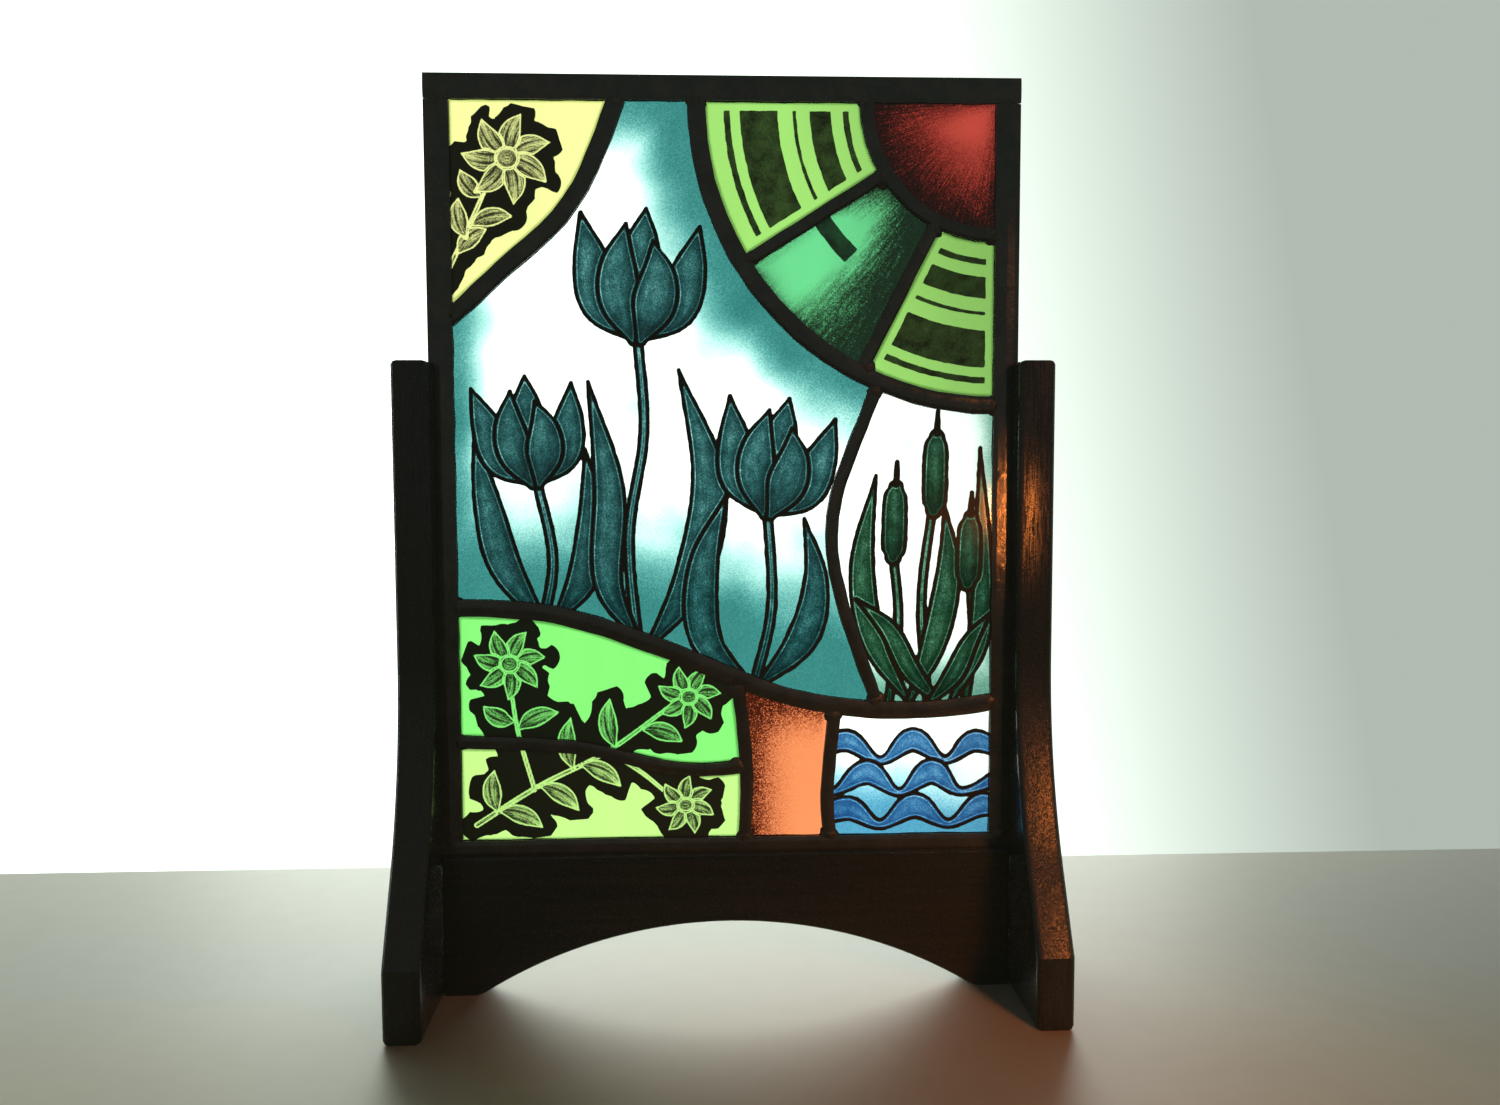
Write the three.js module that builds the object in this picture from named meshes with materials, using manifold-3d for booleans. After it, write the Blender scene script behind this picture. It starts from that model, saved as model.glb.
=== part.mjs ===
// A leaded stained glass panel in a dark wooden table stand. Millimetres, +Z up, +X to the viewer's right, the
// painted face towards -Y. The origin is on the table, under the middle of the panel.
import * as THREE from "three";
import { mergeVertices } from "three/addons/utils/BufferGeometryUtils.js";
import Module from "manifold-3d";

const wasm = await Module();
wasm.setup();

// Clearance that every pair of touching pieces keeps
const FIT = 0.3;

// The leaded panel, over its outer lead
const PANEL_WIDTH = 300;
const PANEL_HEIGHT = 401;
const GLASS_THICKNESS = 3;

// Lead cames: an H in section, with a crowned leaf on each face and a thin heart between the panes
const LEAF_WIDTH = 6.6;
const WIDE_LEAF_WIDTH = 9;
const LEAF_EDGE = 0.5;
const LEAF_CROWN = 1.1;
const HEART_WIDTH = 1.4;

// The shoulder of the crown, as shares of a leaf's half width and of its rise from edge to middle
const SHOULDER_SPREAD = 0.62;
const SHOULDER_RISE = 0.72;

// The outer lead, closed along its outside edge
const BORDER_WIDTH = 12.5;
const BORDER_REBATE = 7;

// The two legs
const LEG_THICKNESS = 19;
const LEG_HEIGHT = 326;
const LEG_TOP_DEPTH = 33;
const FOOT_DEPTH = 129;
const TOE_HEIGHT = 36;
const FLARE_HEIGHT = 175;
const FLARE_DEGREES = 29.4;
const LEG_GROOVE_DEPTH = 3;
const LEG_EDGE_ROUND = 3.2;

// The rail between them, with the foot at each end that its arch springs from
const RAIL_THICKNESS = 17;
const RAIL_HEIGHT = 72.5;
const RAIL_GROOVE_DEPTH = 5.5;
const RAIL_EDGE_ROUND = 0.8;
const RAIL_FOOT_LENGTH = 18.5;
const ARCH_RISE = 37;
const ARCH_CORNER = 4;

// The corner sun and its rays
const SUN_RADIUS = 66;
const BURST_RADIUS = 152;
const RAY_DEGREES = [212, 243];

// The length of a straight facet along a curved lead
const LEAD_STEP = 10;

// What follows from those sizes
const CHANNEL = GLASS_THICKNESS + 2 * FIT;
const CAME_THICKNESS = CHANNEL + 2 * LEAF_CROWN;
const SIGHT_WIDTH = PANEL_WIDTH - 2 * BORDER_WIDTH;
const SIGHT_HEIGHT = PANEL_HEIGHT - 2 * BORDER_WIDTH;
const PANEL_BOTTOM = RAIL_HEIGHT - RAIL_GROOVE_DEPTH + FIT;
const GROOVE_WIDTH = CAME_THICKNESS + 2 * FIT;
const LEG_INNER_X = PANEL_WIDTH / 2 + FIT - LEG_GROOVE_DEPTH;
const RAIL_LENGTH = 2 * (LEG_INNER_X - FIT);
const ARCH_SPAN = RAIL_LENGTH - 2 * RAIL_FOOT_LENGTH;

// Larger than the panel either way, for cutting tools that have to run past it
const BEYOND = 2 * (PANEL_WIDTH + PANEL_HEIGHT);

const COLOURS = {
  wood: 0x1d1612,
  lead: 0x3a3431,
  red: 0xc23b33,
  lime: 0x9fe063,
  emerald: 0x46d58c,
  clear: 0xcdeeee,
  paleYellow: 0xe6f88e,
  clearGreen: 0xe4f3ea,
  brightGreen: 0x7cf084,
  yellowGreen: 0xb4f268,
  orange: 0xff8c55,
  clearBlue: 0xd8ebf8,
};

const woodMaterial = () => new THREE.MeshStandardMaterial({ color: COLOURS.wood, roughness: 0.45, metalness: 0 });
const leadMaterial = () => new THREE.MeshStandardMaterial({ color: COLOURS.lead, roughness: 0.5, metalness: 0.8 });
const glassMaterial = (colour) =>
  new THREE.MeshStandardMaterial({ color: colour, roughness: 0.1, metalness: 0, transparent: true, opacity: 0.5 });

// A closed three.js geometry as a solid that can be cut and joined
function solidOf(geometry) {
  const bare = geometry.index ? geometry.toNonIndexed() : geometry.clone();
  bare.deleteAttribute("normal");
  bare.deleteAttribute("uv");
  const merged = mergeVertices(bare, 1e-4);
  return new wasm.Manifold(
    new wasm.Mesh({
      numProp: 3,
      vertProperties: merged.attributes.position.array,
      triVerts: new Uint32Array(merged.index.array),
    }),
  );
}

function geometryOf(solid) {
  const { vertProperties, triVerts } = solid.getMesh();
  const geometry = new THREE.BufferGeometry();
  geometry.setAttribute("position", new THREE.BufferAttribute(new Float32Array(vertProperties), 3));
  geometry.setIndex(new THREE.BufferAttribute(new Uint32Array(triVerts), 1));
  geometry.computeVertexNormals();
  return geometry;
}

function named(name, solid, material) {
  const mesh = new THREE.Mesh(geometryOf(solid), material);
  mesh.name = name;
  return mesh;
}

function boxBetween(low, high) {
  const size = high.map((h, i) => h - low[i]);
  const box = new THREE.BoxGeometry(...size);
  box.translate(...low.map((l, i) => l + size[i] / 2));
  return solidOf(box);
}

// A shape drawn on the panel's plane, x across and y up, made a board of that thickness astride the plane. Its edges
// are rounded inside its outline.
function board(shape, thickness, edgeRound, curveSegments, bevelSegments = 2) {
  const flat = new THREE.ExtrudeGeometry(shape, {
    depth: thickness - 2 * edgeRound,
    bevelEnabled: edgeRound > 0,
    bevelThickness: edgeRound,
    bevelSize: edgeRound,
    bevelOffset: -edgeRound,
    bevelSegments,
    curveSegments,
  });
  flat.translate(0, 0, edgeRound - thickness / 2);
  flat.rotateX(Math.PI / 2);
  return flat;
}

// Sweeps a closed section of [across, out] points along a line drawn on the panel's plane, and closes its ends
function sweep(section, curve, steps) {
  const positions = [];
  for (let i = 0; i <= steps; i++) {
    const at = curve.getPointAt(i / steps);
    const along = curve.getTangentAt(i / steps);
    for (const [across, out] of section) {
      positions.push(at.x - along.y * across, -out, at.y + along.x * across);
    }
  }
  const ring = section.length;
  const faces = [];
  for (let i = 0; i < steps; i++) {
    for (let j = 0; j < ring; j++) {
      const a = i * ring + j;
      const b = i * ring + ((j + 1) % ring);
      faces.push(a, b, a + ring, b, b + ring, a + ring);
    }
  }
  const outline = section.map(([across, out]) => new THREE.Vector2(across, out));
  const last = steps * ring;
  for (const [a, b, c] of THREE.ShapeUtils.triangulateShape(outline, [])) {
    faces.push(a, c, b, last + a, last + b, last + c);
  }
  const geometry = new THREE.BufferGeometry();
  geometry.setAttribute("position", new THREE.BufferAttribute(new Float32Array(positions), 3));
  geometry.setIndex(faces);
  return solidOf(geometry);
}

const acrossMirror = (points) => points.map(([across, out]) => [-across, out]).reverse();
const outMirror = (points) => points.map(([across, out]) => [across, -out]).reverse();

// The face of a crowned lead from its right edge over to its left one, as [across, out] points
function overCrown(halfWidth) {
  const shoulder = CHANNEL / 2 + LEAF_EDGE + (LEAF_CROWN - LEAF_EDGE) * SHOULDER_RISE;
  const rise = [[halfWidth, CHANNEL / 2 + LEAF_EDGE], [halfWidth * SHOULDER_SPREAD, shoulder]];
  return [...rise, [0, CHANNEL / 2 + LEAF_CROWN], ...acrossMirror(rise)];
}

// The H section, drawn anticlockwise: the front leaf, one side of the heart, the back leaf, the heart's other side
function cameSection(leafWidth) {
  const half = leafWidth / 2;
  const inside = CHANNEL / 2;
  const front = [[half, inside], ...overCrown(half), [-half, inside]];
  const heartSide = [[-HEART_WIDTH / 2, inside], [-HEART_WIDTH / 2, -inside]];
  return [...front, ...heartSide, ...outMirror(front), ...acrossMirror(heartSide)];
}

// The outer lead's section before its rebate is cut: a bar with crowned faces
function borderSection() {
  const front = overCrown(BORDER_WIDTH / 2);
  return [...front, ...outMirror(front)];
}

// A point of the sight opening: u runs from -0.5 on the left to 0.5 on the right, and v from 0 at the foot to 1 at
// the head
const sight = (u, v) => new THREE.Vector2(u * SIGHT_WIDTH, BORDER_WIDTH + v * SIGHT_HEIGHT);
const SUN_CENTRE = sight(0.5, 1);

// A lead line: the curve that its came follows, and the area on its inner side, which is the left of its run
class LeadLine {
  constructor(curve, leafWidth) {
    this.curve = curve;
    this.leafWidth = leafWidth;
    this.steps = curve.isLineCurve ? 1 : Math.ceil(curve.getLength() / LEAD_STEP);
  }
  area(grown) {
    const points = [];
    for (let i = 0; i <= this.steps; i++) {
      const at = this.curve.getPointAt(i / this.steps);
      const along = this.curve.getTangentAt(i / this.steps);
      points.push(new THREE.Vector2(at.x + along.y * grown, at.y - along.x * grown));
    }
    const first = points[0];
    const last = points[points.length - 1];
    const onward = last.clone().sub(first).setLength(BEYOND);
    const left = new THREE.Vector2(-onward.y, onward.x);
    const ahead = last.clone().add(onward);
    const behind = first.clone().sub(onward);
    points.push(ahead, ahead.clone().add(left), behind.clone().add(left), behind);
    return new THREE.Shape(points);
  }
}

// A lead line round the sun's corner: its came turns a quarter and two facets more at each end
class SunArc extends LeadLine {
  constructor(radius, leafWidth) {
    const facets = 4 * Math.ceil((Math.PI * radius) / 2 / LEAD_STEP);
    const facet = (2 * Math.PI) / facets;
    const from = Math.PI - 2 * facet;
    const to = 1.5 * Math.PI + 2 * facet;
    super(new THREE.EllipseCurve(SUN_CENTRE.x, SUN_CENTRE.y, radius, radius, from, to), leafWidth);
    this.steps = facets / 4 + 4;
    this.rim = (i, grown) => {
      const way = new THREE.Vector2(Math.cos(from + i * facet), Math.sin(from + i * facet));
      return way.multiplyScalar(radius + grown).add(SUN_CENTRE);
    };
    this.facets = facets;
  }
  area(grown) {
    return new THREE.Shape(Array.from({ length: this.facets }, (_, i) => this.rim(i, grown)));
  }
}

const through = (leafWidth, ...points) =>
  new LeadLine(new THREE.SplineCurve(points.map(([u, v]) => sight(u, v))), leafWidth);

function ray(degrees, leafWidth) {
  const turn = THREE.MathUtils.degToRad(degrees);
  const end = new THREE.Vector2(Math.cos(turn), Math.sin(turn)).multiplyScalar(BEYOND / 2).add(SUN_CENTRE);
  return new LeadLine(new THREE.LineCurve(SUN_CENTRE, end), leafWidth);
}

// One area of the design: the glass that fills it under the leads, and what shows of it between them
class Area {
  constructor(glass, open) {
    this.glass = glass;
    this.open = open;
  }
  // Divides the area by a lead line. Returns the came, and the areas on its inner and outer sides.
  divide(line) {
    const came = sweep(cameSection(line.leafWidth), line.curve, line.steps).intersect(this.open);
    const side = (grown) => solidOf(board(line.area(grown), CAME_THICKNESS * 2, 0, 1));
    const underLead = HEART_WIDTH / 2 + FIT;
    const besideLead = line.leafWidth / 2 + FIT;
    return [
      came,
      new Area(this.glass.intersect(side(-underLead)), this.open.intersect(side(-besideLead))),
      new Area(this.glass.subtract(side(underLead)), this.open.subtract(side(besideLead))),
    ];
  }
}

function leadedPanel() {
  const panel = new THREE.Group();
  panel.name = "leaded_panel";
  panel.position.z = PANEL_BOTTOM;
  const lead = (name, solid) => panel.add(named(name, solid, leadMaterial()));
  const pane = (name, area, colour) => panel.add(named(name, area.glass, glassMaterial(colour)));

  // The whole sheet, which reaches under the border by its rebate, and the opening between the border leads
  const reach = BORDER_REBATE - FIT;
  const halfSight = SIGHT_WIDTH / 2;
  const foot = BORDER_WIDTH;
  const head = PANEL_HEIGHT - BORDER_WIDTH;
  const sheet = boxBetween(
    [-halfSight - reach, -GLASS_THICKNESS / 2, foot - reach],
    [halfSight + reach, GLASS_THICKNESS / 2, head + reach],
  );
  const opening = boxBetween(
    [-halfSight + FIT, -CAME_THICKNESS, foot + FIT],
    [halfSight - FIT, CAME_THICKNESS, head - FIT],
  );
  const rebate = boxBetween(
    [-halfSight - BORDER_REBATE, -CHANNEL / 2, foot - BORDER_REBATE],
    [halfSight + BORDER_REBATE, CHANNEL / 2, head + BORDER_REBATE],
  );

  // The outer leads: the head and the foot run through, and the sides stand between them
  const halfPanel = PANEL_WIDTH / 2;
  const halfBorder = BORDER_WIDTH / 2;
  const border = (name, fromX, fromY, toX, toY) => {
    const run = new THREE.LineCurve(new THREE.Vector2(fromX, fromY), new THREE.Vector2(toX, toY));
    lead(name, sweep(borderSection(), run, 1).subtract(rebate));
  };
  border("border_lead_bottom", -halfPanel, halfBorder, halfPanel, halfBorder);
  border("border_lead_top", -halfPanel, PANEL_HEIGHT - halfBorder, halfPanel, PANEL_HEIGHT - halfBorder);
  border("border_lead_left", halfBorder - halfPanel, foot + FIT, halfBorder - halfPanel, head - FIT);
  border("border_lead_right", halfPanel - halfBorder, foot + FIT, halfPanel - halfBorder, head - FIT);

  // The areas are divided in the order that a glazier leads them: a sunburst in the upper right corner, the ground
  // below, a corner of sky, and then the small areas. Each lead line runs past the area that it divides.
  const divide = (area, name, line) => {
    const [came, inner, outer] = area.divide(line);
    lead(name, came);
    return [inner, outer];
  };
  const wide = WIDE_LEAF_WIDTH;
  const slim = LEAF_WIDTH;
  const [upperRay, lowerRay] = RAY_DEGREES.map((degrees) => ray(degrees, slim));
  const slope = [[0.36, 0.175], [0.12, 0.195], [-0.12, 0.265], [-0.34, 0.315]];
  const groundLine = through(wide, [0.62, 0.2], ...slope, [-0.62, 0.325]);
  const cornerLine = through(wide, [-0.16, 1.08], [-0.27, 0.88], [-0.42, 0.77], [-0.62, 0.64]);
  const bendLine = through(slim, [0.36, 0.76], [0.27, 0.6], [0.2, 0.45], [0.22, 0.32], [0.33, 0.1]);
  const blockLeftLine = through(slim, [0.02, -0.1], [0.035, 0.04], [0.03, 0.15], [0, 0.32]);
  const blockRightLine = through(slim, [0.21, -0.1], [0.19, 0.04], [0.2, 0.15], [0.23, 0.32]);
  const hillLine = through(slim, [0.2, 0.12], [-0.06, 0.095], [-0.3, 0.13], [-0.62, 0.14]);

  const whole = new Area(sheet, opening);
  const [burst, field] = divide(whole, "came_burst_arc", new SunArc(BURST_RADIUS, wide));
  const [sun, rays] = divide(burst, "came_sun_arc", new SunArc(SUN_RADIUS, slim));
  const [lowerRays, topRay] = divide(rays, "came_upper_ray", upperRay);
  const [sideRay, middleRay] = divide(lowerRays, "came_lower_ray", lowerRay);
  const [ground, sky] = divide(field, "came_ground", groundLine);
  const [aboveGround, skyCorner] = divide(sky, "came_sky_corner", cornerLine);
  const [reeds, meadow] = divide(aboveGround, "came_bend", bendLine);
  const [hills, beyondHills] = divide(ground, "came_block_left", blockLeftLine);
  const [block, water] = divide(beyondHills, "came_block_right", blockRightLine);
  const [lowHill, highHill] = divide(hills, "came_hill", hillLine);

  pane("pane_sun_red", sun, COLOURS.red);
  pane("pane_ray_top_lime", topRay, COLOURS.lime);
  pane("pane_ray_middle_emerald", middleRay, COLOURS.emerald);
  pane("pane_ray_side_lime", sideRay, COLOURS.lime);
  pane("pane_meadow_teal", meadow, COLOURS.clear);
  pane("pane_sky_corner_yellow", skyCorner, COLOURS.paleYellow);
  pane("pane_reeds_green", reeds, COLOURS.clearGreen);
  pane("pane_high_hill_green", highHill, COLOURS.brightGreen);
  pane("pane_low_hill_yellow_green", lowHill, COLOURS.yellowGreen);
  pane("pane_block_orange", block, COLOURS.orange);
  pane("pane_water_blue", water, COLOURS.clearBlue);
  return panel;
}

// A leg's side outline, depth across and height up: a straight post that curves out, front and back, into a slope
// down to a toe. The curve's radius is the one that brings the slope to the toe's top corner.
function legOutline() {
  const halfTop = LEG_TOP_DEPTH / 2;
  const run = FOOT_DEPTH / 2 - halfTop;
  const drop = FLARE_HEIGHT - TOE_HEIGHT;
  const turn = THREE.MathUtils.degToRad(FLARE_DEGREES);
  const radius = (drop * Math.sin(turn) - run * Math.cos(turn)) / (1 - Math.cos(turn));
  const outline = new THREE.Shape();
  outline.moveTo(-FOOT_DEPTH / 2, 0);
  outline.lineTo(FOOT_DEPTH / 2, 0);
  outline.lineTo(FOOT_DEPTH / 2, TOE_HEIGHT);
  outline.absarc(halfTop + radius, FLARE_HEIGHT, radius, Math.PI + turn, Math.PI, true);
  outline.lineTo(halfTop, LEG_HEIGHT);
  outline.lineTo(-halfTop, LEG_HEIGHT);
  outline.absarc(-halfTop - radius, FLARE_HEIGHT, radius, 0, -turn, true);
  outline.lineTo(-FOOT_DEPTH / 2, TOE_HEIGHT);
  outline.closePath();
  return outline;
}

// A leg as it stands on the right, astride x = 0, with the groove in its inner face that the panel slides down
function legSolid() {
  const standing = board(legOutline(), LEG_THICKNESS, LEG_EDGE_ROUND, 12, 3);
  standing.rotateZ(Math.PI / 2);
  const innerFace = -LEG_THICKNESS / 2;
  const groove = boxBetween(
    [innerFace - LEG_THICKNESS, -GROOVE_WIDTH / 2, PANEL_BOTTOM - FIT],
    [innerFace + LEG_GROOVE_DEPTH, GROOVE_WIDTH / 2, LEG_HEIGHT + LEG_THICKNESS],
  );
  return solidOf(standing).subtract(groove);
}

// The rail: a board on two feet, with a shallow arch under it and a groove along its top for the panel's foot
function railSolid() {
  const halfSpan = ARCH_SPAN / 2;
  const radius = (halfSpan * halfSpan + ARCH_RISE * ARCH_RISE) / (2 * ARCH_RISE);
  const turn = Math.asin(halfSpan / radius) - ARCH_CORNER / radius;
  const archStart = new THREE.Vector2(radius * Math.sin(turn), ARCH_RISE - radius + radius * Math.cos(turn));
  const outline = new THREE.Shape();
  outline.moveTo(-RAIL_LENGTH / 2, 0);
  outline.lineTo(-halfSpan - ARCH_CORNER, 0);
  outline.quadraticCurveTo(-halfSpan, 0, -archStart.x, archStart.y);
  outline.absarc(0, ARCH_RISE - radius, radius, Math.PI / 2 + turn, Math.PI / 2 - turn, true);
  outline.quadraticCurveTo(halfSpan, 0, halfSpan + ARCH_CORNER, 0);
  outline.lineTo(RAIL_LENGTH / 2, 0);
  outline.lineTo(RAIL_LENGTH / 2, RAIL_HEIGHT);
  outline.lineTo(-RAIL_LENGTH / 2, RAIL_HEIGHT);
  outline.closePath();
  const groove = boxBetween(
    [-RAIL_LENGTH, -GROOVE_WIDTH / 2, RAIL_HEIGHT - RAIL_GROOVE_DEPTH],
    [RAIL_LENGTH, GROOVE_WIDTH / 2, RAIL_HEIGHT + RAIL_GROOVE_DEPTH],
  );
  return solidOf(board(outline, RAIL_THICKNESS, RAIL_EDGE_ROUND, 24)).subtract(groove);
}

function stand() {
  const wood = new THREE.Group();
  wood.name = "stand";
  for (const [name, side] of [["leg_left", -1], ["leg_right", 1]]) {
    const leg = named(name, legSolid(), woodMaterial());
    leg.position.x = side * (LEG_INNER_X + LEG_THICKNESS / 2);
    leg.rotation.z = side < 0 ? Math.PI : 0;
    wood.add(leg);
  }
  wood.add(named("arched_rail", railSolid(), woodMaterial()));
  return wood;
}

const object = new THREE.Group();
object.name = "stained_glass_panel_on_stand";
object.add(stand(), leadedPanel());

export default object;
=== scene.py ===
# A leaded stained glass panel in a dark wooden table stand. Metres, +X to the viewer's right, +Y away, +Z up.
import math

import bpy
import numpy as np
from mathutils import Matrix, Vector, noise
from mathutils.bvhtree import BVHTree


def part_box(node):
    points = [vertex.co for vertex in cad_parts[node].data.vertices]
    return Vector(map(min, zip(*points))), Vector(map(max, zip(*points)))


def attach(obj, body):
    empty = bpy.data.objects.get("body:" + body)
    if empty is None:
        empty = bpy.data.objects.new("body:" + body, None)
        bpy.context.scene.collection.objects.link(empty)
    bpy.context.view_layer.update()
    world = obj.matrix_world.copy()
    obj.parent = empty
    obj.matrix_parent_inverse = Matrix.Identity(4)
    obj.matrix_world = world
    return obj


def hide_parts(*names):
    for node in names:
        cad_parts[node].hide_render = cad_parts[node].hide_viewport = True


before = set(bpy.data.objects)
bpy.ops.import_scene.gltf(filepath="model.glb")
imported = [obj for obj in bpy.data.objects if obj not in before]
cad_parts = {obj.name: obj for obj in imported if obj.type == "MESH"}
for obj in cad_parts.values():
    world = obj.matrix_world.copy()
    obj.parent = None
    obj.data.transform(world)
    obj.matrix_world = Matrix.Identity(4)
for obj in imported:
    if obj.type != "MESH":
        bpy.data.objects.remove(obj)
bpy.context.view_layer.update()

# The viewpoint. A camera level with the panel's middle looks slightly down and a little to the right, so the
# panel stands just left of the frame's middle and the table's far edge shows below it.
CAMERA_PLACE = (-0.0176, -0.6638, 0.2777)
CAMERA_YAW, CAMERA_PITCH, CAMERA_ROLL = 0.0446, 0.0737, -0.003
LENS = 30.985
camera = bpy.data.objects.new("camera", bpy.data.cameras.new("camera"))
bpy.context.scene.collection.objects.link(camera)
level = Matrix.Rotation(math.pi / 2 - CAMERA_PITCH, 4, "X") @ Matrix.Rotation(CAMERA_ROLL, 4, "Z")
camera.matrix_world = Matrix.Translation(CAMERA_PLACE) @ Matrix.Rotation(-CAMERA_YAW, 4, "Z") @ level
camera.data.sensor_width = 36
camera.data.lens = LENS
bpy.context.scene.camera = camera

# The lens looks into a bright wall, so a little stray light lies over the picture and lifts its blacks.
STRAY_LIGHT = (0.0028, 0.0033, 0.002)
picture = bpy.context.scene.view_settings
picture.view_transform = "Standard"
picture.use_curve_mapping = True
picture.curve_mapping.black_level = [-stray for stray in STRAY_LIGHT]
picture.curve_mapping.update()


# The studio. A pale table ends two hands' breadths behind the panel, and a bright white wall stands beyond it.
# The room in front is dim, with warm lamps on the right.
class Varying:
    """A number or a colour that varies over a finish. Arithmetic on it adds Math nodes to the finish."""

    def __init__(self, tree, socket=None):
        self.tree = tree
        self.socket = socket

    def node(self, kind, settings={}, sockets={}, output=0):
        made = self.tree.nodes.new("ShaderNode" + kind)
        for name, value in settings.items():
            setattr(made, name, value)
        for key, value in sockets.items():
            if isinstance(value, Varying):
                self.tree.links.new(value.socket, made.inputs[key])
            else:
                made.inputs[key].default_value = value
        return Varying(self.tree, made.outputs[output])

    def math(self, operation, *others):
        return self.node("Math", {"operation": operation}, dict(enumerate((self, *others))))

    def __add__(self, other):
        return self.math("ADD", other)

    def __sub__(self, other):
        return self.math("SUBTRACT", other)

    def __rsub__(self, other):
        return self * -1 + other

    def __mul__(self, other):
        return self.math("MULTIPLY", other)

    __radd__ = __add__
    __rmul__ = __mul__

    def least(self, other):
        return self.math("MINIMUM", other)

    def most(self, other):
        return self.math("MAXIMUM", other)

    def rise(self, low, high):
        """0 below low, 1 above high, and an even curve between."""
        return self.node("MapRange", {"interpolation_type": "SMOOTHSTEP"}, {0: self, 1: low, 2: high})

    def blend(self, first, second):
        """The first colour where this is 0, and the second where it is 1."""
        return self.node("Mix", {"data_type": "RGBA"}, {0: self, 6: first, 7: second}, output=2)

    def stretched(self, *factors):
        return self.node("VectorMath", {"operation": "MULTIPLY"}, {0: self, 1: factors})

    def part(self, axis):
        return self.node("SeparateXYZ", {}, {0: self}, output=axis)

    def cloud(self, scale, detail=2.0, roughness=0.5, distortion=0.0):
        """Soft noise, with its patches about a metre over scale wide."""
        sockets = {"Vector": self, "Scale": scale, "Detail": detail, "Roughness": roughness}
        return self.node("TexNoise", {}, {**sockets, "Distortion": distortion})


def bare_finish(name):
    """A new material with an empty start: the material, its node tree as a Varying, and its output node."""
    material = bpy.data.materials.new(name)
    material.use_nodes = True
    tree = material.node_tree
    tree.nodes.clear()
    return material, Varying(tree), tree.nodes.new("ShaderNodeOutputMaterial")


def principled(start, **sockets):
    """A Principled shader with these sockets, each written with _ for a space."""
    named = {name.replace("_", " "): value for name, value in sockets.items()}
    return start.node("BsdfPrincipled", {}, named)


def show(start, output, shader):
    start.tree.links.new(shader.socket, output.inputs["Surface"])


def start_piece(name):
    """Names the primitive that was just made, and returns it."""
    piece = bpy.context.view_layer.objects.active
    piece.name = piece.data.name = name
    return piece


TABLE_BACK = 0.207
TABLE_HALF_WIDTH = 1.8
TABLE_DEPTH = 2.4
TABLE_THICKNESS = 0.03
# Where the table's painted warm shade begins, and where it is full, along Y
WARM_SHADE_START, WARM_SHADE_END = 0.02, -0.11
bpy.ops.object.select_all(action="DESELECT")
bpy.ops.mesh.primitive_cube_add(size=1, location=(0, TABLE_BACK - TABLE_DEPTH / 2, -TABLE_THICKNESS / 2))
table = start_piece("table")
table.scale = (2 * TABLE_HALF_WIDTH, TABLE_DEPTH, TABLE_THICKNESS)
bpy.ops.object.transform_apply(location=True, rotation=True, scale=True)
material, start, output = bare_finish("pale_table")
place = start.node("TexCoord", output="Object")
pale = place.cloud(60, detail=4).blend((0.66, 0.63, 0.56, 1), (0.72, 0.69, 0.62, 1))
# Painted light and shade: the table turns yellower and a little darker towards the front, standing in for warm
# room light in the panel's shadow.
pale = place.part(1).rise(WARM_SHADE_END, WARM_SHADE_START).blend(pale.stretched(0.96, 0.88, 0.75), pale)
show(start, output, principled(start, Base_Color=pale, Roughness=0.5))
table.data.materials.append(material)

WALL_PLACE = 1.0
WALL_SIZE = 7.0
BRIGHT_EDGE, EDGE_LEAN = 0.54, 0.19
FADE_PER_METRE = 2.15
WALL_DIMMEST, WALL_BRIGHTEST = 0.5, 1.9
bpy.ops.object.select_all(action="DESELECT")
bpy.ops.mesh.primitive_plane_add(size=WALL_SIZE, location=(0, WALL_PLACE, 0), rotation=(math.pi / 2, 0, 0))
wall = start_piece("white_wall")
material, start, output = bare_finish("bright_wall")
place = start.node("TexCoord", output="Object")
beyond = place.part(0) + place.part(1) * EDGE_LEAN
glow = ((BRIGHT_EDGE - beyond) * FADE_PER_METRE).math("EXPONENT").least(WALL_BRIGHTEST).most(WALL_DIMMEST)
show(start, output, start.node("Emission", {}, {"Color": glow.stretched(0.88, 1, 0.885), "Strength": 1.0}))
wall.data.materials.append(material)
wall.visible_diffuse = False

# How bright the room is as a light, and how much brighter it is in a mirror and seen straight
DIM_ROOM, MIRRORED_ROOM, SEEN_ROOM = 0.03, 0.1, 0.92
world = bpy.data.worlds.new("room")
world.use_nodes = True
bpy.context.scene.world = world
start = Varying(world.node_tree)
world.node_tree.nodes.clear()
seen_bare, seen_through, mirrored = (
    start.node("LightPath", output=f"Is {kind} Ray") for kind in ("Camera", "Transmission", "Glossy")
)
straight = seen_bare.most(seen_through)
tone = straight.most(mirrored).blend((1, 0.93, 0.8, 1), (0.93, 1, 0.94, 1))
strength = DIM_ROOM + mirrored * MIRRORED_ROOM + straight * SEEN_ROOM
background = start.node("Background", {}, {"Color": tone, "Strength": strength})
room = world.node_tree.nodes.new("ShaderNodeOutputWorld")
world.node_tree.links.new(background.socket, room.inputs["Surface"])


def lamp(name, place, target, width, height, watts, colour, spread=180):
    """A soft rectangular lamp that faces target and doesn't show itself."""
    light = bpy.data.lights.new(name, "AREA")
    light.shape = "RECTANGLE"
    light.size, light.size_y, light.energy, light.color = width, height, watts, colour
    light.spread = math.radians(spread)
    holder = bpy.data.objects.new(name, light)
    bpy.context.scene.collection.objects.link(holder)
    holder.location = place
    holder.rotation_euler = (Vector(target) - Vector(place)).to_track_quat("-Z", "Y").to_euler()
    holder.visible_camera = holder.visible_transmission = False
    return holder


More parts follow.
